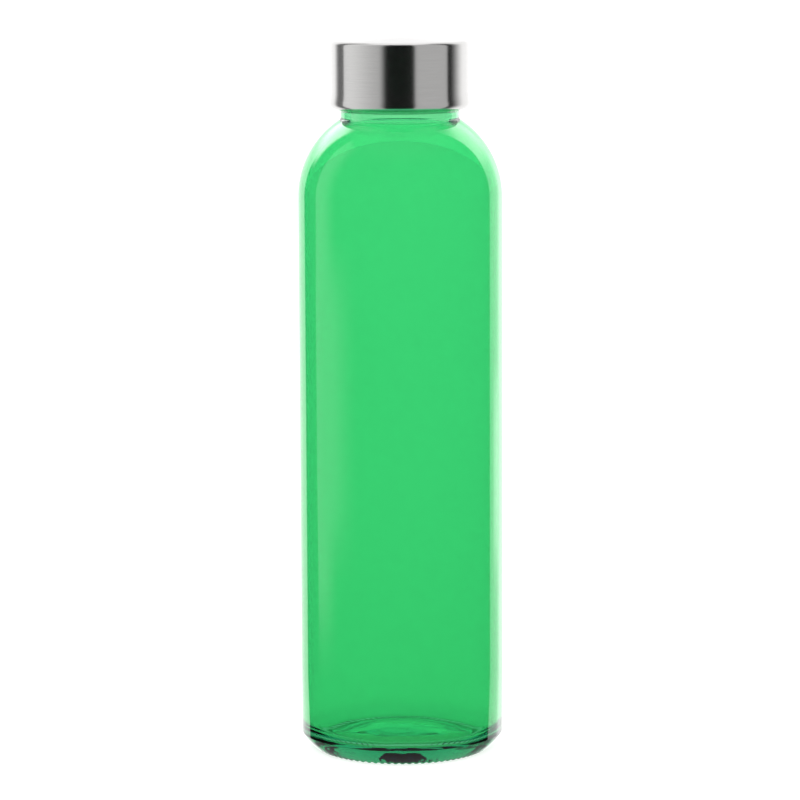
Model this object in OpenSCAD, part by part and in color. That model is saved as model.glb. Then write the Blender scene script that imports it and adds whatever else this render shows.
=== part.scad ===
// Half-litre glass water bottle with a stainless steel screw cap.
// Millimetres. +Z is up. The origin is the centre of the base, on the surface that the bottle stands on.
// Four separate pieces: the glass, the cap's steel shell, its plastic liner and its silicone seal ring.
// Turning the cap anticlockwise, seen from above, raises it by one thread pitch a turn.

/* [Bottle] */
// Outside diameter of the straight body
body_d = 65; // [62:0.5:70]
// Thickness of the body's glass
wall = 2.5; // [2.2:0.1:3]
// Height at which the straight side ends
side_top = 178; // [150:1:190]
// Radius of the shoulder's arc
shoulder_r = 29.3; // [28.5:0.1:29.5]
// Width of the rounded heel, measured across
heel_w = 4.9; // [4.5:0.1:6]
// Height of the rounded heel
heel_h = 5.4; // [4.5:0.1:6.5]
// Width of the flat ring that the bottle stands on
bearing_w = 2.9; // [2.4:0.1:3.4]
// Rise of the base's underside at its centre
push_up = 3.6; // [2.5:0.1:4]
// Thickness of the base at its centre
base_t = 4.6; // [4:0.1:6]
// Radial grooves moulded round the standing ring
knurl_count = 80; // [60:1:90]

/* [Neck] */
// Diameter of the hole that is drunk from
mouth_d = 31.4; // [30:0.1:32]
// Diameter of the smooth collar under the thread
collar_d = 37.6; // [37:0.1:37.8]
// Diameter over the glass thread
thread_d = 37.8; // [37.6:0.1:38]
// Diameter of the neck between the thread's turns
thread_root_d = 35.6; // [35.4:0.1:35.8]
// Rise of the thread in one turn
pitch = 4.2; // [4:0.1:4.5]
// Length of the glass thread, in turns
thread_turns = 1.5; // [1:0.25:1.75]

/* [Cap] */
// Outside diameter of the steel shell
cap_d = 44; // [43.6:0.1:44.6]
// Height of the steel shell, with its domed top
cap_h = 23.4; // [22.6:0.1:24]
// Rise of the shell's top at its middle
top_dome = 1; // [0.4:0.1:1.4]
// Thickness of the shell's steel
steel_t = 0.45; // [0.35:0.05:0.5]
// Height of the neck that shows under the cap
collar_show = 1.7; // [1.4:0.1:2.4]
// Thickness of the seal ring
seal_t = 1.55; // [1.2:0.05:1.6]
// Ribs that hold the liner from turning in the shell
rib_count = 24; // [12:1:36]

/* [Hidden] */
$fn = 96;

body_r = body_d / 2;
inner_r = body_r - wall;
mouth_r = mouth_d / 2;
collar_r = collar_d / 2;
root_r = thread_root_d / 2;
crest_r = thread_d / 2;
cap_r = cap_d / 2;

// Shoulder: its arc's centre stands at the height where the straight side ends.
shoulder_x = body_r - shoulder_r;
neck_fillet = 1.2;
mouth_fillet = 3;
// The centre of a fillet that joins the shoulder's arc to an upright line.
function fillet_centre(line_r, fillet, arc_r) =
    let (x = line_r + fillet, reach = arc_r + fillet)
    [x, side_top + sqrt(reach * reach - pow(x - shoulder_x, 2))];
outer_fillet = fillet_centre(collar_r, neck_fillet, shoulder_r);
inner_fillet = fillet_centre(mouth_r, mouth_fillet, shoulder_r - wall);

// Heights up the neck and through the cap, from the cap's bottom edge.
cap_z = outer_fillet[1] + collar_show;
cap_top = cap_z + cap_h;
edge_top = cap_top - top_dome;
liner_top = edge_top - steel_t - 0.05;
liner_roof = liner_top - 1.1;
rim_z = liner_roof - seal_t - 0.05;
collar_top = cap_z + 3;
lip_round = 0.9;

// Base
heel_power = 1.2;
bearing_out = body_r - heel_w;
bearing_in = bearing_out - bearing_w;
corner_r = 5;
floor_edge = 5.6;
floor_mid = push_up + base_t;

// Threads: a trapezium ridge, wide at the wall and narrow at the crest, that sinks into the wall at both ends.
sink = 0.6;
ridge_fade = 40;
ridge_step = 10;
glass_ridge_w = 2.3;
glass_crest_w = 0.9;
liner_ridge_w = 1.7;
liner_crest_w = 0.7;
glass_thread_z = rim_z - 2.9 - thread_turns * pitch;
// The liner's ridge runs this far under the glass ridge, which leaves a small gap between their flanks.
ridge_offset = 1.4;

// Cap
edge_r = 1.35;
dome_r = cap_r - edge_r;
dome_slope = atan(2 * top_dome / dome_r);
// The hem is a bead round the shell's lower edge, then a cone that slopes down and in to the lip.
bead_r = 2;
bead_out = 0.36;
bead_rise = 1.5;
hem_slope = 26;
hem_lip = 19.4;
bead_x = cap_r + bead_out - bead_r;
bead_z = (bead_x + bead_r * sin(hem_slope) - hem_lip) * tan(hem_slope) + bead_r * cos(hem_slope);
shell_gap = 0.15;
liner_r = cap_r - steel_t - shell_gap;
liner_bore = 19.45;
liner_crest = 18.15;
liner_z = cap_z + 1.3;
liner_chamfer = 1.4;
seal_out = 18.9;
seal_in = 14;
spigot_out = 13.8;
spigot_in = 12.6;

// Points on an arc about centre c from angle a to angle b.
function arc(c, r, a, b, steps = 8) =
    [for (i = [0 : steps]) let (t = a + (b - a) * i / steps) [c[0] + r * cos(t), c[1] + r * sin(t)]];

// Points up the heel: a superellipse, flatter than a quarter circle.
function heel(steps = 12) =
    [for (i = [0 : steps]) let (t = 90 * i / steps)
        [bearing_out + heel_w * pow(sin(t), 2 / heel_power),
         heel_h * (1 - pow(cos(t), 2 / heel_power))]];

// Height of the base's underside at radius r: a shallow dome inside the standing ring.
function underside(r) = push_up * pow(1 - pow(r / bearing_in, 3), 0.8);

// Height of the floor inside at radius r.
floor_r = inner_r - corner_r;
function inside_floor(r) = floor_edge + (floor_mid - floor_edge) * (0.5 + 0.5 * cos(180 * r / floor_r));

// Outline of the glass: up its outside, over the rim, down its inside and out along the underside.
function glass_outline() = concat(
    heel(),
    arc([shoulder_x, side_top], shoulder_r, 0,
        atan2(outer_fillet[1] - side_top, outer_fillet[0] - shoulder_x), 20),
    arc(outer_fillet, neck_fillet,
        180 + atan2(outer_fillet[1] - side_top, outer_fillet[0] - shoulder_x), 180, 6),
    [[collar_r, collar_top - 0.4], [collar_r - 0.3, collar_top], [root_r, collar_top + 1]],
    arc([root_r - lip_round, rim_z - lip_round], lip_round, 0, 90, 5),
    arc([mouth_r + lip_round, rim_z - lip_round], lip_round, 90, 180, 5),
    arc(inner_fillet, mouth_fillet, 180,
        180 + atan2(inner_fillet[1] - side_top, inner_fillet[0] - shoulder_x), 8),
    arc([shoulder_x, side_top], shoulder_r - wall,
        atan2(inner_fillet[1] - side_top, inner_fillet[0] - shoulder_x), 0, 20),
    arc([floor_r, floor_edge + corner_r], corner_r, 0, -90, 8),
    [for (i = [9 : -1 : 0]) [floor_r * i / 10, inside_floor(floor_r * i / 10)]],
    [for (i = [0 : 16]) let (r = bearing_in * sin(90 * i / 16)) [r, underside(r)]]
);

// A helical ridge on an upright wall. wall_r is the wall's radius and tip_r the crest's. The root lies sink inside
// the wall, and the crest sinks under the wall's surface over the first and last ridge_fade degrees.
module ridge(turns, start_z, wall_r, tip_r, root_w, crest_w) {
    // The four corners of each section run the other way round on a ridge that points inwards.
    side = sign(tip_r - wall_r);
    count = ceil(turns * 360 / ridge_step);
    function rise(t) = let (edge = min(t, turns * 360 - t)) edge >= ridge_fade ? 1 : sin(90 * edge / ridge_fade);
    rings = [for (i = [0 : count]) let (
        t = turns * 360 * i / count,
        z = start_z + pitch * t / 360,
        crest = wall_r - side * sink / 2 + (tip_r - wall_r + side * sink / 2) * rise(t),
        root = wall_r - side * sink,
        section = [[root, -root_w / 2], [crest, -crest_w / 2], [crest, crest_w / 2], [root, root_w / 2]])
        [for (p = section) [p[0] * cos(t), p[0] * sin(t), z + side * p[1]]]];
    points = [for (ring = rings) each ring];
    strips = [for (i = [0 : count - 1], j = [0 : 3]) let (
        a = 4 * i + j, b = 4 * i + (j + 1) % 4, c = a + 4, d = b + 4)
        each [[a, b, c], [b, d, c]]];
    last = 4 * count;
    ends = [[0, 2, 1], [0, 3, 2], [last, last + 1, last + 2], [last, last + 2, last + 3]];
    polyhedron(points, concat(strips, ends));
}

// The bottle: one piece of glass with its thread and its knurled standing ring.
module glass_bottle() {
    groove_r = 0.7;
    groove_depth = 0.5;
    color([0.24, 0.85, 0.46, 0.55])
    difference() {
        union() {
            rotate_extrude() polygon(glass_outline());
            ridge(thread_turns, glass_thread_z, root_r, crest_r, glass_ridge_w, glass_crest_w);
        }
        for (i = [0 : knurl_count - 1])
            rotate([0, 0, (i + 0.5) * 360 / knurl_count])
                translate([bearing_in - 0.6, 0, groove_depth - groove_r])
                    rotate([0, 90, 0]) cylinder(r = groove_r, h = bearing_w + 2.2, $fn = 24);
    }
}

// Points across the shell's top, from its middle to its rounded edge, at a depth under its outside.
function dome(depth, steps = 8) =
    [for (i = [0 : steps]) [dome_r * i / steps, edge_top - depth + top_dome * (1 - pow(i / steps, 2))]];

// The shell: spun steel sheet with a domed top and a rounded edge. Its lower edge is a bead, from which a hem
// turns in under the liner.
module cap_shell() {
    bead_c = [bead_x, cap_z + bead_z];
    edge_c = [dome_r, edge_top - edge_r];
    under = dome(steel_t);
    color("silver")
    rotate_extrude() polygon(concat(
        dome(0),
        arc(edge_c, edge_r, 90 - dome_slope, 0, 6),
        [[cap_r, bead_c[1] + bead_rise]],
        arc(bead_c, bead_r, 0, hem_slope - 90, 8),
        [[hem_lip, cap_z], [hem_lip, cap_z + steel_t / cos(hem_slope)]],
        arc(bead_c, bead_r - steel_t, hem_slope - 90, 0, 8),
        [[cap_r - steel_t, bead_c[1] + bead_rise]],
        arc(edge_c, edge_r - steel_t, 0, 90 - dome_slope, 6),
        [for (i = [len(under) - 1 : -1 : 0]) under[i]]
    ));
}

// The liner: moulded plastic with the cap's thread, a seat for the seal ring and ribs that grip the shell.
module cap_liner() {
    rib_r = 0.5;
    bead = 0.65;
    color("whitesmoke")
    union() {
        rotate_extrude() polygon([
            [0, liner_top], [liner_r - liner_chamfer, liner_top], [liner_r, liner_top - liner_chamfer],
            [liner_r, liner_z + 1.6], [liner_r - 1, liner_z],
            [liner_bore + 0.6, liner_z], [liner_bore, liner_z + 0.6],
            [liner_bore, rim_z - 0.9], [liner_bore - bead, rim_z - 0.5],
            [liner_bore - bead, rim_z - 0.3], [liner_bore - 0.2, rim_z - 0.1],
            [liner_bore - 0.2, liner_roof],
            [spigot_out, liner_roof], [spigot_out, rim_z + 0.4],
            [spigot_in, rim_z + 0.4], [spigot_in, liner_roof],
            [0, liner_roof]
        ]);
        ridge(thread_turns, glass_thread_z - ridge_offset, liner_bore, liner_crest,
              liner_ridge_w, liner_crest_w);
        for (i = [0 : rib_count - 1])
            rotate([0, 0, i * 360 / rib_count])
                translate([liner_r - rib_r + 0.1, 0, liner_z + 2.5])
                    cylinder(r = rib_r, h = liner_top - liner_z - 4.5, $fn = 24);
    }
}

// The seal: a flat silicone ring that the cap presses on the rim.
module seal_ring() {
    soft = 0.25;
    z0 = rim_z;
    z1 = rim_z + seal_t;
    color("gainsboro")
    rotate_extrude() polygon([
        [seal_in + soft, z0], [seal_out - soft, z0], [seal_out, z0 + soft], [seal_out, z1 - soft],
        [seal_out - soft, z1], [seal_in + soft, z1], [seal_in, z1 - soft], [seal_in, z0 + soft]
    ]);
}

glass_bottle();
cap_shell();
cap_liner();
seal_ring();
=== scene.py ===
"""Looks for a half-litre green glass water bottle with a brushed steel screw cap, on its CAD frame."""

import logging
import math
from collections.abc import Callable, Mapping, Sequence
from dataclasses import dataclass
from enum import Enum

import bpy
import numpy as np
from mathutils import Euler, Matrix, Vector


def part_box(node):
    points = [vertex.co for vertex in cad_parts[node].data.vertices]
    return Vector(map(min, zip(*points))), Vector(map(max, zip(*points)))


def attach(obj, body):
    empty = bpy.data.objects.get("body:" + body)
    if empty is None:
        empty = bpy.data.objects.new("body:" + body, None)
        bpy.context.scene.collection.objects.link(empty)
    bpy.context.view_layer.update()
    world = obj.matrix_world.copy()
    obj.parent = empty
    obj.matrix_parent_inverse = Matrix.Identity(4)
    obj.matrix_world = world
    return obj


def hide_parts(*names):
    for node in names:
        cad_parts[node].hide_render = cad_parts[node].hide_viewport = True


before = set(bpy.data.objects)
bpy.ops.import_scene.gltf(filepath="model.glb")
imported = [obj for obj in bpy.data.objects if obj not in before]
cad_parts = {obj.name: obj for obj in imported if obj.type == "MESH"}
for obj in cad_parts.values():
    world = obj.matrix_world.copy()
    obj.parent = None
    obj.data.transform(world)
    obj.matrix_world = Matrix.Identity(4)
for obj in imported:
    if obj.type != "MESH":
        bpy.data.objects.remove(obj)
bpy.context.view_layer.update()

log = logging.getLogger("water_bottle")

MM = 0.001  # pieces are sized in millimetres and built in metres
NEAR = 0.01  # millimetres within which a point is taken to lie on a wall
GLASS_BOUNCES = 24  # light crosses many faces of glass on its way through the base
GLOSSY_BOUNCES = 12

Point = tuple[float, float]
Wave = tuple[float, int, float]  # height, how many go round, and where the first starts, in radians
Relief = Callable[[np.ndarray, np.ndarray, np.ndarray], tuple[np.ndarray, np.ndarray]]


class Body(str, Enum):
    """The moving bodies of the frame."""

    BOTTLE = "bottle"
    SEAL = "seal"
    CAP = "cap"


class Slot(str, Enum):
    """The record's material slots."""

    GLASS = "green_glass"
    STEEL = "brushed_steel"
    LINER = "liner_plastic"
    SEAL = "seal_silicone"


# ---------------------------------------------------------------- helpers


def colour(hex_code: str) -> tuple[float, float, float, float]:
    """Turns an sRGB hex value to linear.

    Args:
        hex_code: The colour as #RRGGBB.

    Returns:
        Linear red, green, blue and an alpha of 1.
    """
    parts = [int(hex_code[i : i + 2], 16) / 255 for i in (1, 3, 5)]
    linear = [p / 12.92 if p <= 0.04045 else ((p + 0.055) / 1.055) ** 2.4 for p in parts]
    return (*linear, 1.0)


def add(
    tree: bpy.types.NodeTree,
    kind: str,
    settings: Mapping[str, object] | None = None,
    wires: Mapping[str | int, bpy.types.NodeSocket] | None = None,
) -> bpy.types.Node:
    """Adds a node with its settings and links.

    Args:
        tree: The node tree to add to.
        kind: The node's type name.
        settings: Input sockets and properties by name, with their values.
        wires: Input sockets by name or place, with the output that feeds each.

    Returns:
        The new node.
    """
    node = tree.nodes.new(kind)
    for name, value in (settings or {}).items():
        if name in node.inputs:
            node.inputs[name].default_value = value
        else:
            setattr(node, name, value)
    for name, source in (wires or {}).items():
        tree.links.new(source, node.inputs[name])
    return node


def new_material(name: str) -> tuple[bpy.types.Material, bpy.types.NodeTree]:
    """Makes an empty node material.

    Args:
        name: The material's name.

    Returns:
        The material and its cleared node tree.
    """
    material = bpy.data.materials.new(name)
    material.use_nodes = True
    material.node_tree.nodes.clear()
    return material, material.node_tree


def arc(centre: Point, radius: float, start: float, stop: float, steps: int) -> list[Point]:
    """Points on an arc in the plane of the axis.

    Args:
        centre: The arc's centre, as distance from the axis and height.
        radius: The arc's radius.
        start: Angle of the first point, in degrees.
        stop: Angle of the last point, in degrees.
        steps: Number of steps between them.

    Returns:
        The points, both ends included.
    """
    angles = np.radians(np.linspace(start, stop, steps + 1))
    return [(centre[0] + radius * math.cos(a), centre[1] + radius * math.sin(a)) for a in angles]


def rise(start: Point, stop: Point, steps: int) -> list[Point]:
    """Points on a straight line, both ends included.

    Args:
        start: The first point.
        stop: The last point.
        steps: Number of steps between them.

    Returns:
        The points.
    """
    return [tuple(p) for p in np.linspace(start, stop, steps + 1)]


def smooth(value: np.ndarray) -> np.ndarray:
    """Eases a ramp, clipped to 0 to 1, in and out."""
    t = np.clip(value, 0.0, 1.0)
    return t * t * (3 - 2 * t)


def swaying(angle: np.ndarray, waves: Sequence[Wave]) -> np.ndarray:
    """Adds up waves that go round a piece."""
    return sum(height * np.sin(number * angle + start) for height, number, start in waves)


def off_spoke(angle: np.ndarray, radius: np.ndarray, count: int, turn: float) -> np.ndarray:
    """How far points are, along the round, from the nearest of some evenly spaced spokes.

    Args:
        angle: Each point's angle, in radians.
        radius: Each point's radius.
        count: How many spokes there are.
        turn: How far the spokes are turned back from half a step, in steps.

    Returns:
        The distance, positive past the spoke.
    """
    step = 2 * math.pi / count
    return radius * (np.mod(angle + turn * step, step) - step / 2)


def turned(
    name: str,
    outline: Sequence[Point],
    steps: int,
    relief: Relief | None = None,
    ring_values: Mapping[str, Sequence[float]] | None = None,
) -> bpy.types.Object:
    """Builds a closed piece of revolution with relief on it.

    The outline runs with the material on its left. It either starts and ends on the axis, or goes
    round a ring.

    Args:
        name: The piece's name.
        outline: Radius and height of each ring, in millimetres.
        steps: Points round each ring.
        relief: Takes each point's angle, radius and height, and returns what to add to the last two.
        ring_values: Attributes for the finish, by name, with a value for each ring.

    Returns:
        The piece, smooth shaded.
    """
    radius = np.array([p[0] for p in outline])[:, None].repeat(steps, 1)
    height = np.array([p[1] for p in outline])[:, None].repeat(steps, 1)
    angle = np.linspace(0, 2 * math.pi, steps, endpoint=False)[None, :].repeat(len(outline), 0)
    if relief is not None:
        more_radius, more_height = relief(angle, radius, height)
        radius, height = radius + more_radius, height + more_height
    rings = np.stack([radius * np.cos(angle), radius * np.sin(angle), height], axis=2) * MM

    on_axis = outline[0][0] == 0 and outline[-1][0] == 0
    first, last = (1, len(outline) - 1) if on_axis else (0, len(outline))
    points = rings[first:last].reshape(-1, 3).tolist()
    count = last - first
    faces: list[tuple[int, ...]] = []
    for i in range(count - 1 if on_axis else count):
        low, high = i * steps, (i + 1) % count * steps
        for j in range(steps):
            k = (j + 1) % steps
            faces.append((low + j, low + k, high + k, high + j))
    if on_axis:
        under, over = len(points), len(points) + 1
        points += [rings[0, 0].tolist(), rings[-1, 0].tolist()]
        top = (count - 1) * steps
        for j in range(steps):
            k = (j + 1) % steps
            faces.append((under, k, j))
            faces.append((top + j, top + k, over))

    mesh = bpy.data.meshes.new(name)
    mesh.from_pydata(points, [], faces)
    for label, values in (ring_values or {}).items():
        spread = np.repeat(values[first:last], steps).tolist()
        spread += [values[0], values[-1]] if on_axis else []
        mesh.attributes.new(label, "FLOAT", "POINT").data.foreach_set("value", spread)
    mesh.shade_smooth()
    mesh.update()
    piece = bpy.data.objects.new(name, mesh)
    bpy.context.scene.collection.objects.link(piece)
    return piece


def place(piece: bpy.types.Object, body: Body, node: str) -> None:
    """Rides a piece on its body, in place of a CAD node.

    Args:
        piece: The finished piece.
        body: The body that it moves with.
        node: The CAD node that it stands for.
    """
    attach(piece, body.value)
    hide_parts(node)
    log.info("%s: %d faces, rides on %s", piece.name, len(piece.data.polygons), body.value)


# ---------------------------------------------------------------- finishes


@dataclass(frozen=True)
class LacqueredGlass:
    """Soda-lime glass with a cast of teal, sprayed outside with see-through green lacquer."""

    # Blown glass is optically smooth, so what it mirrors is sharp. The lacquer colours what is seen through
    # the bottle by the same amount all over, and the glass adds its cast where it is thick.
    bare: str = "#F2FAF5"
    thin_coat: str = "#39BB68"
    # The deeper green shows where the coat lies thick. Towards the bottom it is also painted shade.
    thick_coat_and_shade: str = "#31B15E"
    cast: str = "#00BFDC"
    cast_density: float = 30.0  # absorption per metre of glass
    ior: float = 1.5
    drift_mm: float = 60.0  # length over which the sprayed coat's thickness drifts
    drift: float = 0.35  # share of the coat's thickness that drifts
    shade_fall_mm: float = 190.0  # height over which the coat is painted darker towards the bottom, as painted shade

    def build(self) -> bpy.types.Material:
        """Builds the material, whose coat follows the attribute "coat" on the piece.

        Returns:
            The material.
        """
        material, tree = new_material("green lacquer sprayed on soda-lime glass")
        spot = add(tree, "ShaderNodeTexCoord")
        parts = add(tree, "ShaderNodeSeparateXYZ", {}, {0: spot.outputs["Object"]})
        # The coat is painted darker towards the bottom. This is painted shade, added on top of the coat's
        # random drift in thickness.
        painted_shade_fall = add(
            tree,
            "ShaderNodeMapRange",
            {
                "From Min": 0.0,
                "From Max": self.shade_fall_mm * MM,
                "To Min": 1.0 - self.drift / 2,
                "To Max": -self.drift / 2,
            },
            {"Value": parts.outputs["Z"]},
        )
        cloud = add(
            tree,
            "ShaderNodeTexNoise",
            {"Scale": 1 / (self.drift_mm * MM), "Detail": 2.0, "Roughness": 0.4},
            {"Vector": spot.outputs["Object"]},
        )
        depth_and_shade = add(
            tree,
            "ShaderNodeMath",
            {"operation": "MULTIPLY_ADD", "use_clamp": True},
            {0: cloud.outputs["Fac"], 2: painted_shade_fall.outputs["Result"]},
        )
        depth_and_shade.inputs[1].default_value = self.drift
        coat = self.blend(tree, self.thin_coat, self.thick_coat_and_shade, depth_and_shade.outputs[0])
        mask = add(tree, "ShaderNodeAttribute", {"attribute_name": "coat"})
        tint = self.blend(tree, self.bare, coat, mask.outputs["Fac"])
        glass = add(
            tree,
            "ShaderNodeBsdfPrincipled",
            {"IOR": self.ior, "Roughness": 0.0, "Transmission Weight": 1.0},
            {"Base Color": tint},
        )
        cast = add(
            tree,
            "ShaderNodeVolumeAbsorption",
            {"Color": colour(self.cast), "Density": self.cast_density},
        )
        add(
            tree,
            "ShaderNodeOutputMaterial",
            {},
            {"Surface": glass.outputs[0], "Volume": cast.outputs[0]},
        )
        return material

    def blend(
        self,
        tree: bpy.types.NodeTree,
        first: str,
        second: str | bpy.types.NodeSocket,
        share: bpy.types.NodeSocket,
    ) -> bpy.types.NodeSocket:
        """Mixes two colours.

        Args:
            tree: The node tree to add to.
            first: The colour at a share of 0.
            second: The colour at a share of 1, or the output that gives it.
            share: The output that gives the second colour's share.

        Returns:
            The output with the mixed colour.
        """
        mix = add(tree, "ShaderNodeMix", {"data_type": "RGBA"}, {"Factor": share})
        ends = [s for s in mix.inputs if s.type == "RGBA"]
        ends[0].default_value = colour(first)
        if isinstance(second, str):
            ends[1].default_value = colour(second)
        else:
            tree.links.new(second, ends[1])
        return [s for s in mix.outputs if s.type == "RGBA"][0]


@dataclass(frozen=True)
class BrushedSteel:
    """Stainless steel brushed round the cap's axis with a fine belt."""

    # The belt leaves fine marks round the wall, which draw what it mirrors out into upright bands.
    face: str = "#CFCECD"
    groove: str = "#C8C7C6"
    roughness: float = 0.2
    anisotropy: float = 0.75
    grain_mm: float = 0.35  # real belt marks are near 0.1 mm, drawn coarser so that they show
    mark_mm: float = 10.0  # length of a mark round the wall
    wall_mm: float = 22.0  # radius of the wall
    bump: float = 0.012
    bump_mm: float = 0.05
    contrast: tuple[float, float] = (0.3, 0.7)  # where the pattern is all groove and all face

    def build(self) -> bpy.types.Material:
        """Builds the material.

        Returns:
            The material.
        """
        material, tree = new_material("stainless steel brushed round its axis")
        spot = add(tree, "ShaderNodeTexCoord")
        parts = add(tree, "ShaderNodeSeparateXYZ", {}, {0: spot.outputs["Object"]})
        across = add(
            tree,
            "ShaderNodeMath",
            {"operation": "MULTIPLY"},
            {0: parts.outputs["X"], 1: parts.outputs["X"]},
        )
        square = add(
            tree,
            "ShaderNodeMath",
            {"operation": "MULTIPLY_ADD"},
            {0: parts.outputs["Y"], 1: parts.outputs["Y"], 2: across.outputs[0]},
        )
        radius = add(tree, "ShaderNodeMath", {"operation": "SQRT"}, {0: square.outputs[0]})
        turn = add(
            tree,
            "ShaderNodeMath",
            {"operation": "ARCTAN2"},
            {0: parts.outputs["Y"], 1: parts.outputs["X"]},
        )
        # The marks run round the axis, so the pattern changes fast with height and radius, and slowly
        # with the angle.
        track = add(
            tree,
            "ShaderNodeMath",
            {"operation": "ADD"},
            {0: parts.outputs["Z"], 1: radius.outputs[0]},
        )
        spread = add(
            tree,
            "ShaderNodeCombineXYZ",
            {},
            {"X": turn.outputs[0], "Y": track.outputs[0]},
        )
        scaled = add(
            tree,
            "ShaderNodeVectorMath",
            {"operation": "MULTIPLY"},
            {0: spread.outputs[0]},
        )
        scaled.inputs[1].default_value = (self.wall_mm / self.mark_mm, 1 / (self.grain_mm * MM), 1.0)
        marks = add(
            tree,
            "ShaderNodeTexNoise",
            {"Scale": 1.0, "Detail": 5.0, "Roughness": 0.65},
            {"Vector": scaled.outputs[0]},
        )
        tone = add(tree, "ShaderNodeValToRGB", {}, {"Fac": marks.outputs["Fac"]})
        ends = zip(tone.color_ramp.elements, self.contrast, (self.groove, self.face))
        for end, share, shade in ends:
            end.position = share
            end.color = colour(shade)
        dent = add(
            tree,
            "ShaderNodeBump",
            {"Strength": self.bump, "Distance": self.bump_mm * MM},
            {"Height": marks.outputs["Fac"]},
        )
        tangent = add(tree, "ShaderNodeTangent", {"direction_type": "RADIAL", "axis": "Z"})
        steel = add(
            tree,
            "ShaderNodeBsdfPrincipled",
            {
                "Metallic": 1.0,
                "Roughness": self.roughness,
                "Anisotropic": self.anisotropy,
                "Anisotropic Rotation": 0.25,
            },
            {
                "Base Color": tone.outputs["Color"],
                "Normal": dent.outputs[0],
                "Tangent": tangent.outputs[0],
            },
        )
        add(tree, "ShaderNodeOutputMaterial", {}, {"Surface": steel.outputs[0]})
        return material


@dataclass(frozen=True)
class MouldedPolypropylene:
    """Natural polypropylene from a polished mould."""

    # It is milky, with a soft shine and faint clouds where the melt flowed.
    base: str = "#E9E8E2"
    flow: str = "#DEDDD6"
    roughness: float = 0.38
    ior: float = 1.49
    flow_mm: float = 5.56  # width of a cloud
    bump: float = 0.1
    bump_mm: float = 0.05
    milkiness: float = 0.3
    depth_mm: float = 1.0
    # A weak glow stands in for light that comes through the neck's glass, which path tracing hardly finds.
    soaked_tint: str = "#D8F5E2"
    soaked_light: float = 0.3

    def build(self) -> bpy.types.Material:
        """Builds the material.

        Returns:
            The material.
        """
        material, tree = new_material("moulded natural polypropylene")
        spot = add(tree, "ShaderNodeTexCoord")
        flow = add(
            tree,
            "ShaderNodeTexNoise",
            {"Scale": 1 / (self.flow_mm * MM), "Detail": 3.0},
            {"Vector": spot.outputs["Object"]},
        )
        tone = add(tree, "ShaderNodeValToRGB", {}, {"Fac": flow.outputs["Fac"]})
        tone.color_ramp.elements[0].color = colour(self.flow)
        tone.color_ramp.elements[1].color = colour(self.base)
        dent = add(
            tree,
            "ShaderNodeBump",
            {"Strength": self.bump, "Distance": self.bump_mm * MM},
            {"Height": flow.outputs["Fac"]},
        )
        plastic = add(
            tree,
            "ShaderNodeBsdfPrincipled",
            {
                "Roughness": self.roughness,
                "IOR": self.ior,
                "Subsurface Weight": self.milkiness,
                "Subsurface Scale": self.depth_mm * MM,
                "Emission Color": colour(self.soaked_tint),
                "Emission Strength": self.soaked_light,
            },
            {"Base Color": tone.outputs["Color"], "Normal": dent.outputs[0]},
        )
        add(tree, "ShaderNodeOutputMaterial", {}, {"Surface": plastic.outputs[0]})
        return material


@dataclass(frozen=True)
class MouldedSilicone:
    """Translucent white food-grade silicone with a moulded skin."""

    # It is matt and slightly grainy, and light sinks into it.
    base: str = "#E4E4E0"
    roughness: float = 0.55
    ior: float = 1.41
    grain_mm: float = 1.11  # coarser than real grain, which is too fine to show
    bump: float = 0.15
    bump_mm: float = 0.03
    milkiness: float = 0.4
    depth_mm: float = 1.5

    def build(self) -> bpy.types.Material:
        """Builds the material.

        Returns:
            The material.
        """
        material, tree = new_material("moulded white silicone")
        spot = add(tree, "ShaderNodeTexCoord")
        grain = add(
            tree,
            "ShaderNodeTexNoise",
            {"Scale": 1 / (self.grain_mm * MM), "Detail": 2.0},
            {"Vector": spot.outputs["Object"]},
        )
        dent = add(
            tree,
            "ShaderNodeBump",
            {"Strength": self.bump, "Distance": self.bump_mm * MM},
            {"Height": grain.outputs["Fac"]},
        )
        rubber = add(
            tree,
            "ShaderNodeBsdfPrincipled",
            {
                "Base Color": colour(self.base),
                "Roughness": self.roughness,
                "IOR": self.ior,
                "Subsurface Weight": self.milkiness,
                "Subsurface Scale": self.depth_mm * MM,
            },
            {"Normal": dent.outputs[0]},
        )
        add(tree, "ShaderNodeOutputMaterial", {}, {"Surface": rubber.outputs[0]})
        return material


# ---------------------------------------------------------------- the bottle


@dataclass
class ScrewThread:
    """A helical ridge on an upright wall, right-handed. Sizes in millimetres."""

    rim: float  # height of the rim that it winds up towards
    drop: float = 0.0  # how far the liner's ridge runs under the glass's
    below_rim: float = 2.9
    pitch: float = 4.2
    turns: float = 1.5
    height: float = 1.1
    foot: float = 1.8
    crest: float = 0.9
    fade: float = 40.0  # degrees over which the ridge runs out at each end

    @property
    def start(self) -> float:
        """Height at which the ridge starts."""
        return self.rim - self.below_rim - self.turns * self.pitch - self.drop

    def relief(self, angle: np.ndarray, height: np.ndarray) -> np.ndarray:
        """How far the ridge stands off the wall.

        Args:
            angle: Each point's angle, in radians.
            height: Each point's height, in millimetres.

        Returns:
            The ridge's height at each point, from 0 to the full height.
        """
        out = np.zeros_like(height)
        for lap in range(math.ceil(self.turns)):
            along = np.degrees(angle) + 360 * lap
            ends = smooth(np.minimum(along, self.turns * 360 - along) / self.fade)
            off = np.abs(height - self.start - self.pitch * along / 360)
            flank = (self.foot / 2 - off) / (self.foot / 2 - self.crest / 2)
            out = np.maximum(out, self.height * ends * smooth(flank))
        return out


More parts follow.
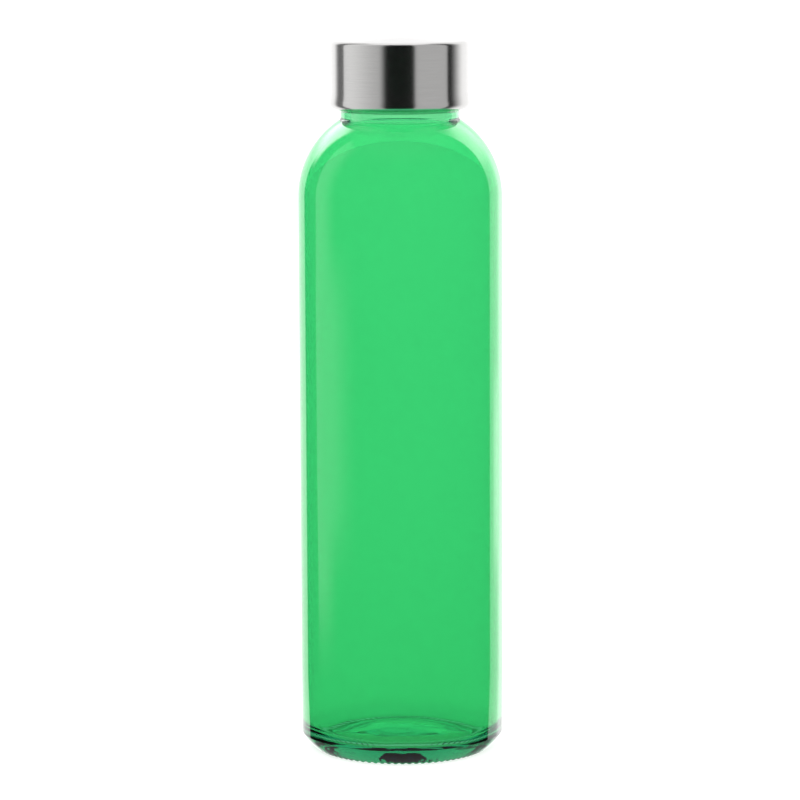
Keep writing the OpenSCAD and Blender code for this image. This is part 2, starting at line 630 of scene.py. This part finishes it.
@dataclass
class GlassBottle:
    """The glass: body, shoulder, threaded neck and grooved base. Sizes in millimetres."""

    body_radius: float
    rim: float
    cap_bottom: float
    wall: float = 2.5
    side_top: float = 178.0
    shoulder_radius: float = 29.3
    heel_width: float = 4.9
    heel_height: float = 5.4
    heel_power: float = 1.2
    ring_width: float = 2.9
    push_up: float = 3.6
    base_thickness: float = 4.6
    floor_edge: float = 5.6
    corner_radius: float = 5.0
    mouth_radius: float = 15.7
    collar_radius: float = 18.8
    thread_root: float = 17.8
    collar_height: float = 3.0
    neck_fillet: float = 1.2
    mouth_fillet: float = 3.0
    lip_radius: float = 0.9
    collar_bevel: tuple[float, float] = (0.3, 0.4)  # in and down
    collar_slope: float = 1.0  # height from the collar's top to the thread's root
    groove_count: int = 80
    groove_radius: float = 0.7
    groove_depth: float = 0.5
    steps: int = 400  # five points for each groove round the base
    ring_coat: float = 0.25  # share of the full coat that wear leaves on the standing ring
    collar_coat: float = 0.88  # share of the full coat that reaches the collar
    knurl_top: float = 2.6  # height to which the grooves run out up the heel
    knurl_dent: float = 0.16
    ripple: float = 0.4  # how uneven the blown floor and corner are
    floor_waves: tuple[Wave, ...] = ((0.6, 3, 0.8), (0.4, 5, 2.1), (0.15, 11, 0.0))
    underside_waves: tuple[Wave, ...] = ((0.5, 2, 0.4), (0.5, 7, 1.3))

    @property
    def ring_outer(self) -> float:
        """Outer radius of the standing ring."""
        return self.body_radius - self.heel_width

    @property
    def ring_inner(self) -> float:
        """Inner radius of the standing ring."""
        return self.ring_outer - self.ring_width

    @property
    def inside(self) -> float:
        """Inner radius of the body."""
        return self.body_radius - self.wall

    @property
    def floor_radius(self) -> float:
        """Radius at which the floor meets the rounded corner."""
        return self.inside - self.corner_radius

    def underside(self, radius: float) -> float:
        """Height of the base's underside at a radius."""
        return self.push_up * (1 - (radius / self.ring_inner) ** 3) ** 0.8

    def floor(self, radius: float) -> float:
        """Height of the floor inside at a radius."""
        mound = self.push_up + self.base_thickness - self.floor_edge
        return self.floor_edge + mound * (0.5 + 0.5 * math.cos(math.pi * radius / self.floor_radius))

    def heel(self, turn: float) -> Point:
        """A point up the rounded heel, at an angle from the standing ring in radians."""
        power = 2 / self.heel_power
        lift = 1 - max(math.cos(turn), 0.0) ** power
        return self.ring_outer + self.heel_width * math.sin(turn) ** power, self.heel_height * lift

    def fillet_centre(self, line: float, fillet: float, reach: float) -> Point:
        """Centre of a fillet that joins the shoulder's arc to an upright line.

        Args:
            line: Radius of the upright line.
            fillet: Radius of the fillet.
            reach: Radius of the shoulder's arc.

        Returns:
            The fillet's centre.
        """
        x = line + fillet
        off = x - (self.body_radius - self.shoulder_radius)
        return x, self.side_top + math.sqrt((reach + fillet) ** 2 - off**2)

    def outline(self) -> tuple[list[Point], list[float]]:
        """The glass's outline, from the middle of its underside round to the middle of its floor.

        Returns:
            The points, and the share of the full coat of lacquer at each.
        """
        centre = (self.body_radius - self.shoulder_radius, self.side_top)
        outer = self.fillet_centre(self.collar_radius, self.neck_fillet, self.shoulder_radius)
        inner = self.fillet_centre(self.mouth_radius, self.mouth_fillet, self.shoulder_radius - self.wall)
        outer_turn = math.degrees(math.atan2(outer[1] - centre[1], outer[0] - centre[0]))
        inner_turn = math.degrees(math.atan2(inner[1] - centre[1], inner[0] - centre[0]))
        collar_top = self.cap_bottom + self.collar_height
        bevel_in, bevel_down = self.collar_bevel
        corner_top = self.floor_edge + self.corner_radius
        lip = self.lip_radius

        # Out along the underside, and up the outside to the collar.
        quarter = math.pi / 2
        under = [(r, self.underside(r)) for r in self.ring_inner * np.sin(np.linspace(0, quarter, 25))]
        ring = rise((self.ring_inner, 0), (self.ring_outer, 0), 5)[1:]
        heel = [self.heel(t) for t in np.linspace(0, quarter, 15)[1:]]
        side = rise(heel[-1], (self.body_radius, self.side_top), 8)[1:]
        shoulder = arc(centre, self.shoulder_radius, 0, outer_turn, 26)[1:]
        neck = arc(outer, self.neck_fillet, 180 + outer_turn, 180, 6)[1:]
        collar = rise(neck[-1], (self.collar_radius, collar_top - bevel_down), 4)[1:]
        coat = [1.0] * len(under) + [self.ring_coat] * len(ring)
        coat += [1.0] * len(heel + side + shoulder)
        coat += [self.collar_coat] * len(neck + collar)

        # Over the thread and the rim, and down the inside to the middle of the floor.
        finish = [
            (self.collar_radius - bevel_in, collar_top),
            (self.thread_root, collar_top + self.collar_slope),
        ]
        wall = rise(finish[-1], (self.thread_root, self.rim - lip), 44)[1:]
        rim = arc((self.thread_root - lip, self.rim - lip), lip, 0, 90, 5)[1:]
        rim += arc((self.mouth_radius + lip, self.rim - lip), lip, 90, 180, 5)
        throat = rise(rim[-1], (self.mouth_radius, inner[1]), 6)[1:]
        throat += arc(inner, self.mouth_fillet, 180, 180 + inner_turn, 6)[1:]
        dome = arc(centre, self.shoulder_radius - self.wall, inner_turn, 0, 22)[1:]
        bore = rise(dome[-1], (self.inside, corner_top), 8)[1:]
        corner = arc((self.floor_radius, corner_top), self.corner_radius, 0, -90, 10)[1:]
        floor = [(r, self.floor(r)) for r in self.floor_radius * np.linspace(0.93, 0, 14)]
        points = under + ring + heel + side + shoulder + neck + collar + finish + wall + rim + throat
        points += dome + bore + corner + floor
        return points, coat + [0.0] * (len(points) - len(coat))

    def relief(
        self, angle: np.ndarray, radius: np.ndarray, height: np.ndarray
    ) -> tuple[np.ndarray, np.ndarray]:
        """The thread on the neck, the grooves round the standing ring and the uneven floor.

        Args:
            angle: Each point's angle, in radians.
            radius: Each point's radius before relief, in millimetres.
            height: Each point's height before relief, in millimetres.

        Returns:
            What to add to radius and to height.
        """
        lip_low = self.rim - self.lip_radius
        on_neck = (np.abs(radius - self.thread_root) < NEAR) & (height < lip_low + NEAR)
        more_radius = np.where(on_neck, ScrewThread(self.rim).relief(angle, height), 0.0)

        # Each groove is cut by a round cutter laid across the standing ring.
        off = off_spoke(angle, radius, self.groove_count, 0.0)
        arch = np.sqrt(np.maximum(self.groove_radius**2 - off**2, 0))
        roof = arch - self.groove_radius + self.groove_depth
        on_ring = (radius > self.ring_inner - 0.6) & (radius < self.ring_outer + 1.6) & (height < 1)
        more_height = np.where(on_ring, np.maximum(roof - height, 0), 0.0)

        on_heel = (radius > self.ring_outer + 0.1) & (height > 0) & (height < self.knurl_top)
        fade = smooth((self.knurl_top - height) / self.knurl_top)
        dent = self.knurl_dent * (0.5 - 0.5 * np.cos(angle * self.groove_count)) * fade
        more_radius = more_radius - np.where(on_heel, dent, 0.0)

        # The floor and the corner are blown, so they sway a little. The sway runs out 8 mm up the wall.
        blown = (height > self.floor_edge - 0.3) & (radius < self.inside + 0.05)
        reach = (radius / self.inside) ** 2 * smooth((self.floor_edge + 8 - height) / 6)
        swell = self.ripple * swaying(angle, self.floor_waves) * reach
        more_height = more_height + np.where(blown, swell, 0.0)
        pushed = (radius < self.ring_inner - 1) & (height > 0.1) & (height < self.push_up + 0.1)
        sway = self.ripple / 2 * swaying(angle, self.underside_waves) * radius / self.ring_inner
        more_height = more_height + np.where(pushed, sway, 0.0)
        return more_radius, more_height

    def build(self, glass: bpy.types.Material) -> bpy.types.Object:
        """Builds and dresses the glass, with its coat of lacquer from the underside to the collar.

        Args:
            glass: Its finish.

        Returns:
            The piece.
        """
        points, coat = self.outline()
        piece = turned("bottle_glass", points, self.steps, self.relief, {"coat": coat})
        piece.data.materials.append(glass)
        return piece


# ---------------------------------------------------------------- the cap


@dataclass
class ScrewCap:
    """The cap: a steel shell over a threaded liner, with a seal ring. Sizes in millimetres."""

    radius: float
    bottom: float
    top: float
    rim: float
    steel: float = 0.45
    edge_radius: float = 1.35
    dome: float = 1.0
    bead_radius: float = 2.0
    bead_flare: float = 0.36
    bead_rise: float = 3.6
    hem_slope: float = 26.0  # degrees
    hem_lip: float = 19.4
    shell_gap: float = 0.15
    shell_inner_gap: float = 0.05  # between the liner's top and the shell
    liner_bore: float = 19.45
    liner_roof: float = 1.1
    liner_lift: float = 1.3  # from the cap's lower edge to the liner's
    liner_base: float = 1.6  # height of the bevel at the liner's lower edge
    seal_bead: float = 0.65  # how far the bead that holds the seal ring stands in from the bore
    spigot_inner: float = 12.6
    spigot_outer: float = 13.8
    spigot_bevel: float = 0.15
    spigot_gap: float = 0.25  # from the spigot's end to the height of the rim
    rib_count: int = 24
    rib_radius: float = 0.5
    rib_rise: float = 0.1
    thread_drop: float = 1.4
    seal_thickness: float = 1.55
    seal_outer: float = 18.9
    seal_inner: float = 14.0
    seal_edge: float = 0.25
    steps: int = 384

    @property
    def edge_top(self) -> float:
        """Height of the shell's top at its rounded edge."""
        return self.top - self.dome

    @property
    def liner_outer(self) -> float:
        """Outer radius of the liner between its ribs."""
        return self.radius - self.steel - self.shell_gap

    @property
    def liner_top(self) -> float:
        """Height of the liner's top."""
        return self.edge_top - self.steel - self.shell_inner_gap

    @property
    def liner_low(self) -> float:
        """Height of the liner's lower edge."""
        return self.bottom + self.liner_lift

    def shell_outline(self) -> list[Point]:
        """Outline of the steel: over the top, down outside, round the bead and the hem, and up inside.

        Returns:
            The points.
        """
        dome_radius = self.radius - self.edge_radius
        dome_slope = math.degrees(math.atan(2 * self.dome / dome_radius))
        slope = math.radians(self.hem_slope)
        bead_x = self.radius + self.bead_flare - self.bead_radius
        drop = (bead_x + self.bead_radius * math.sin(slope) - self.hem_lip) * math.tan(slope)
        bead = (bead_x, self.bottom + drop + self.bead_radius * math.cos(slope))
        edge = (dome_radius, self.edge_top - self.edge_radius)
        straight = bead[1] + self.bead_rise
        inner = self.radius - self.steel
        lip_top = self.bottom + self.steel / math.cos(slope)
        across = np.linspace(0, 1, 25)
        outside = [(dome_radius * t, self.edge_top + self.dome * (1 - t * t)) for t in across]
        outside += arc(edge, self.edge_radius, 90 - dome_slope, 0, 10)
        outside += rise((self.radius, edge[1]), (self.radius, straight), 6)[1:]
        flare = np.linspace(0, 1, 9)[1:-1]
        outside += [
            (self.radius + self.bead_flare * float(smooth(t)), straight - self.bead_rise * t) for t in flare
        ]
        outside += arc(bead, self.bead_radius, 0, self.hem_slope - 90, 12)
        outside += rise(outside[-1], (self.hem_lip + 0.15, self.bottom + 0.15 * math.tan(slope)), 3)[1:]
        lip = [(self.hem_lip, self.bottom + 0.1), (self.hem_lip, lip_top - 0.1)]
        inside = [(self.hem_lip + 0.15, lip_top + 0.15 * math.tan(slope))]
        inside += arc(bead, self.bead_radius - self.steel, self.hem_slope - 90, 0, 8)
        inside += rise((inner, straight), (inner, edge[1]), 4)
        inside += arc(edge, self.edge_radius - self.steel, 0, 90 - dome_slope, 5)[1:]
        inside += [(r, z - self.steel) for r, z in outside[: len(across)][::-2]]
        return (outside + lip + inside)[::-1]

    def build_shell(self, steel: bpy.types.Material) -> bpy.types.Object:
        """Builds and dresses the steel shell.

        Args:
            steel: Its finish.

        Returns:
            The piece.
        """
        piece = turned("cap_steel_shell", self.shell_outline(), self.steps)
        piece.data.materials.append(steel)
        return piece

    def liner_outline(self) -> list[Point]:
        """Outline of the liner: out along its roof, down the bore, and up outside to the top.

        Returns:
            The points.
        """
        outer, top, low = self.liner_outer, self.liner_top, self.liner_low
        roof = top - self.liner_roof
        bore, rim = self.liner_bore, self.rim
        recess, bead = bore - 0.2, bore - self.seal_bead
        end, bevel = rim + self.spigot_gap, self.spigot_bevel
        outline = rise((0, roof), (self.spigot_inner, roof), 6)
        outline += [(self.spigot_inner, end + bevel), (self.spigot_inner + bevel, end)]
        outline += [(self.spigot_outer - bevel, end), (self.spigot_outer, end + bevel)]
        outline += rise((self.spigot_outer, roof), (recess, roof), 4)
        outline += [(recess, rim - 0.1), (bead + 0.05, rim - 0.3)]
        outline += [(bead, rim - 0.4), (bead + 0.05, rim - 0.5)]
        outline += rise((bore, rim - 0.9), (bore, low + 0.6), 56)
        outline += [(bore + 0.6, low), (outer - 1, low), (outer, low + self.liner_base)]
        outline += rise((outer, low + 2.5), (outer, top - 2), 8)
        return outline + [(outer, top - 1.4), (outer - 0.4, top - 0.4), (outer - 1.4, top), (0, top)]

    def liner_relief(
        self, angle: np.ndarray, radius: np.ndarray, height: np.ndarray
    ) -> tuple[np.ndarray, np.ndarray]:
        """The thread inside the liner and the ribs outside.

        Args:
            angle: Each point's angle, in radians.
            radius: Each point's radius before relief, in millimetres.
            height: Each point's height before relief, in millimetres.

        Returns:
            What to add to radius and to height.
        """
        thread = ScrewThread(self.rim, self.thread_drop, height=1.3, foot=1.4, crest=0.7)
        in_bore = (np.abs(radius - self.liner_bore) < NEAR) & (height < self.rim - 0.85)
        ridge = np.where(in_bore, -thread.relief(angle, height), 0.0)
        off = off_spoke(angle, radius, self.rib_count, 0.5)
        on_wall = np.abs(radius - self.liner_outer) < NEAR
        on_wall &= (height > self.liner_low + 2.4) & (height < self.liner_top - 1.9)
        rib = np.sqrt(np.maximum(self.rib_radius**2 - off**2, 0)) - self.rib_radius + self.rib_rise
        return ridge + np.where(on_wall, np.maximum(rib, 0), 0.0), np.zeros_like(height)

    def build_liner(self, plastic: bpy.types.Material) -> bpy.types.Object:
        """Builds and dresses the threaded liner.

        Args:
            plastic: Its finish.

        Returns:
            The piece.
        """
        piece = turned("cap_liner_moulding", self.liner_outline(), self.steps, self.liner_relief)
        piece.data.materials.append(plastic)
        return piece

    def build_seal(self, silicone: bpy.types.Material) -> bpy.types.Object:
        """Builds and dresses the seal ring.

        Args:
            silicone: Its finish.

        Returns:
            The piece.
        """
        soft = self.seal_edge
        low, high = self.rim, self.rim + self.seal_thickness
        outline = arc((self.seal_outer - soft, low + soft), soft, -90, 0, 4)
        outline += arc((self.seal_outer - soft, high - soft), soft, 0, 90, 4)
        outline += arc((self.seal_inner + soft, high - soft), soft, 90, 180, 4)
        outline += arc((self.seal_inner + soft, low + soft), soft, 180, 270, 4)
        piece = turned("cap_seal_ring", outline, self.steps)
        piece.data.materials.append(silicone)
        return piece


# ---------------------------------------------------------------- the studio


@dataclass(frozen=True)
class Panel:
    """A lamp, a white sheet or a black card, by its direction from the set.

    Angles are in degrees. Azimuth is measured from straight behind the bottle, positive to the right.
    """

    left: float
    right: float
    low: float
    high: float
    level: float
    left_soft: float = 1.5
    right_soft: float = 1.5
    end_soft: float = 8.0

    def cover(self, azimuth: np.ndarray, elevation: np.ndarray) -> np.ndarray:
        """How much of the view in each direction the panel takes up.

        Args:
            azimuth: Directions round the set, in degrees.
            elevation: Directions above its middle, in degrees.

        Returns:
            0 outside the panel to 1 inside it, with soft edges.
        """
        across = np.mod(azimuth - self.left + 180, 360) - 180
        width = self.right - self.left
        across = np.where(across < (width - 360) / 2, across + 360, across)
        from_left = smooth(across / self.left_soft + 0.5)
        from_right = smooth((width - across) / self.right_soft + 0.5)
        from_low = smooth((elevation - self.low) / self.end_soft + 0.5)
        from_high = smooth((self.high - elevation) / self.end_soft + 0.5)
        return from_left * from_right * from_low * from_high


@dataclass(frozen=True)
class Surround:
    """A globe round the set that only mirrors see, with each panel painted over the ones before it."""

    name: str
    panels: tuple[Panel, ...]
    level: float = 0.0
    tint: str = "#FFFFFF"
    radius: float = 1.0
    height: float = 0.12

    def build(self, *seen_by: bpy.types.Object) -> bpy.types.Object:
        """Builds the globe.

        Args:
            seen_by: The only pieces that mirror this globe, which is then see-through to all others.

        Returns:
            The globe.
        """
        turns, tiers = 360, 150
        azimuth = np.linspace(-180, 180, turns, endpoint=False)[None, :].repeat(tiers + 1, 0)
        elevation = np.linspace(-90, 90, tiers + 1)[:, None].repeat(turns, 1)
        glow = np.full(azimuth.shape, self.level)
        for panel in self.panels:
            cover = panel.cover(azimuth, elevation)
            glow = glow * (1 - cover) + panel.level * cover
        a, e = np.radians(azimuth), np.radians(elevation)
        spots = np.stack([np.sin(a) * np.cos(e), np.cos(a) * np.cos(e), np.sin(e)], axis=2) * self.radius
        spots[:, :, 2] += self.height
        low = (np.arange(tiers)[:, None] * turns + np.arange(turns)[None, :]).ravel()
        beside = (np.arange(tiers)[:, None] * turns + (np.arange(turns)[None, :] + 1) % turns).ravel()
        faces = np.stack([low, beside, beside + turns, low + turns], axis=1)

        mesh = bpy.data.meshes.new(self.name)
        mesh.from_pydata(spots.reshape(-1, 3).tolist(), [], faces.tolist())
        mesh.attributes.new("glow", "FLOAT", "POINT").data.foreach_set("value", glow.ravel())
        piece = bpy.data.objects.new(self.name, mesh)
        bpy.context.scene.collection.objects.link(piece)
        material, tree = new_material(f"{self.name} light")
        level = add(tree, "ShaderNodeAttribute", {"attribute_name": "glow"})
        light = add(
            tree, "ShaderNodeEmission", {"Color": colour(self.tint)}, {"Strength": level.outputs["Fac"]}
        )
        if seen_by:
            clear = add(tree, "ShaderNodeBsdfTransparent")
            light = add(tree, "ShaderNodeAddShader", {}, {0: light.outputs[0], 1: clear.outputs[0]})
            receivers = bpy.data.collections.new(f"{self.name} receivers")
            for receiver in seen_by:
                receivers.objects.link(receiver)
            piece.light_linking.receiver_collection = receivers
        add(tree, "ShaderNodeOutputMaterial", {}, {"Surface": light.outputs[0]})
        material.cycles.emission_sampling = "NONE"
        mesh.materials.append(material)
        piece.visible_camera = piece.visible_diffuse = False
        piece.visible_transmission = piece.visible_shadow = False
        return piece


@dataclass
class Studio:
    """A white table in soft light, and the cards that show in glass and steel."""

    white: float = 1.8
    table_size: float = 30.0
    table_white: str = "#B8B8B8"
    table_glow: float = 0.7  # the table is lit from under too, so no shadow shows on it

    def light(self) -> None:
        """Lights the set evenly from a white surround."""
        world = bpy.data.worlds.new("white surround")
        world.use_nodes = True
        world.node_tree.nodes.clear()
        glow = add(world.node_tree, "ShaderNodeBackground", {"Color": (1, 1, 1, 1), "Strength": self.white})
        add(world.node_tree, "ShaderNodeOutputWorld", {}, {"Surface": glow.outputs[0]})
        world.cycles.sampling_method = "NONE"
        bpy.context.scene.world = world

    def table(self) -> bpy.types.Object:
        """Builds the white table top.

        Returns:
            The table top.
        """
        half = self.table_size / 2
        corners = [(-half, -half, 0), (half, -half, 0), (half, half, 0), (-half, half, 0)]
        mesh = bpy.data.meshes.new("table_top")
        mesh.from_pydata(corners, [], [(0, 1, 2, 3)])
        piece = bpy.data.objects.new("table_top", mesh)
        bpy.context.scene.collection.objects.link(piece)
        material, tree = new_material("matt white table")
        paint = add(
            tree,
            "ShaderNodeBsdfPrincipled",
            {
                "Base Color": colour(self.table_white),
                "Roughness": 0.9,
                "Specular IOR Level": 0.0,
                "Emission Color": (1, 1, 1, 1),
                "Emission Strength": self.table_glow,
            },
        )
        add(tree, "ShaderNodeOutputMaterial", {}, {"Surface": paint.outputs[0]})
        mesh.materials.append(material)
        piece.visible_glossy = False
        return piece

    def surround(self, steel_shell: bpy.types.Object, others: Sequence[bpy.types.Object]) -> None:
        """Hangs white sheets and lamps round the set in a dark room.

        Args:
            steel_shell: The piece that has cards of its own.
            others: The pieces that mirror the sheets and lamps round the bottle.
        """
        Surround("dark_room", ()).build()

        low_glow = Panel(-112, -71, -13, -4, 1.25, left_soft=44, end_soft=4)
        left_lamp = Panel(-95, -72, -16, 54, 1.05, left_soft=24, end_soft=4)
        backdrop = Panel(-45, 61, -40, 100, 1.55)
        right_lamp = Panel(26, 38, -40, 62, 2.2, left_soft=12, right_soft=12)
        low_streak = Panel(38, 52, -14, -8, 2.4, left_soft=6, right_soft=6, end_soft=3)
        left_shoulder = Panel(-52, -20, 22, 50, 5.0, left_soft=8, right_soft=12, end_soft=16)
        right_shoulder = Panel(24, 60, 22, 50, 3.2, left_soft=12, right_soft=3, end_soft=16)
        ceiling = Panel(-180, 180, 56, 100, 0.25, end_soft=30)
        underlight = Panel(-180, 180, -100, -34, 0.4)
        sides = (low_glow, left_lamp, backdrop, right_lamp, low_streak, left_shoulder, right_shoulder)
        Surround("bottle_cards", (*sides, ceiling, underlight), level=0.03, radius=0.95).build(*others)

        far_left = Panel(-152, -75, -38, 70, 0.62, left_soft=14, right_soft=2)
        left_fall = Panel(-120, -75, -38, 70, 1.05, left_soft=70, right_soft=2)
        left_card = Panel(-75, -50, -38, 70, 0.2, left_soft=2)
        sheet_behind = Panel(-52, 70, -38, 70, 1.38, left_soft=18, right_soft=40)
        right_sheet = Panel(95, 155, -38, 70, 0.64, right_soft=6)
        overhead = Panel(-180, 180, 66, 100, 1.42)
        bands = (far_left, left_fall, left_card, sheet_behind, right_sheet, overhead)
        Surround("cap_cards", bands, level=0.01, radius=0.9).build(steel_shell)

        # The hem, which faces down, mirrors the green light that the bottle throws on the table.
        bounce = Panel(-180, 180, -100, -38, 0.9)
        Surround("green_bounce", (bounce,), tint="#5DE6A0", radius=0.85).build(steel_shell)


@dataclass
class Camera:
    """A long lens a little above the cap. Distances in metres, angles in degrees."""

    distance: float = 1.16355
    height: float = 0.28334
    tilt: float = 8.343  # down
    yaw: float = 0.0153  # to the left
    roll: float = -0.24
    lens: float = 165.4
    sensor: float = 36.0

    def build(self) -> bpy.types.Object:
        """Builds the camera and makes it the scene's own.

        Returns:
            The camera.
        """
        data = bpy.data.cameras.new("camera")
        data.lens, data.sensor_width = self.lens, self.sensor
        data.clip_start, data.clip_end = 0.05, 50.0
        camera = bpy.data.objects.new("camera", data)
        aim = Euler((math.radians(90 - self.tilt), 0, math.radians(self.yaw))).to_matrix()
        aim = aim @ Matrix.Rotation(math.radians(self.roll), 3, "Z")
        camera.matrix_world = Matrix.Translation((0, -self.distance, self.height)) @ aim.to_4x4()
        bpy.context.scene.collection.objects.link(camera)
        bpy.context.scene.camera = camera
        return camera


def main() -> None:
    """Builds the bottle, its cap and the studio."""
    logging.basicConfig(level=logging.INFO, format="%(name)s: %(message)s")
    glass_low, glass_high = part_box("glass_bottle")
    cap_low, cap_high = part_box("cap_shell")

    Camera().build()

    bottle = GlassBottle(
        body_radius=(glass_high.x - glass_low.x) / 2 / MM,
        rim=glass_high.z / MM,
        cap_bottom=cap_low.z / MM,
    )
    glass = bottle.build(LacqueredGlass().build())
    place(glass, Body.BOTTLE, "glass_bottle")

    cap = ScrewCap(
        radius=(cap_high.x - cap_low.x) / 2 / MM - ScrewCap.bead_flare,
        bottom=cap_low.z / MM,
        top=cap_high.z / MM,
        rim=glass_high.z / MM,
    )
    shell = cap.build_shell(BrushedSteel().build())
    place(shell, Body.CAP, "cap_shell")
    liner = cap.build_liner(MouldedPolypropylene().build())
    place(liner, Body.CAP, "cap_liner")
    seal = cap.build_seal(MouldedSilicone().build())
    place(seal, Body.SEAL, "seal_ring")

    studio = Studio()
    studio.light()
    studio.table()
    studio.surround(shell, (glass, liner, seal))

    view = bpy.context.scene.view_settings
    view.view_transform, view.look = "Standard", "None"
    render = bpy.context.scene.cycles
    render.max_bounces = render.transmission_bounces = GLASS_BOUNCES
    render.glossy_bounces = GLOSSY_BOUNCES
    render.use_denoising = True


if __name__ == "__main__":
    main()
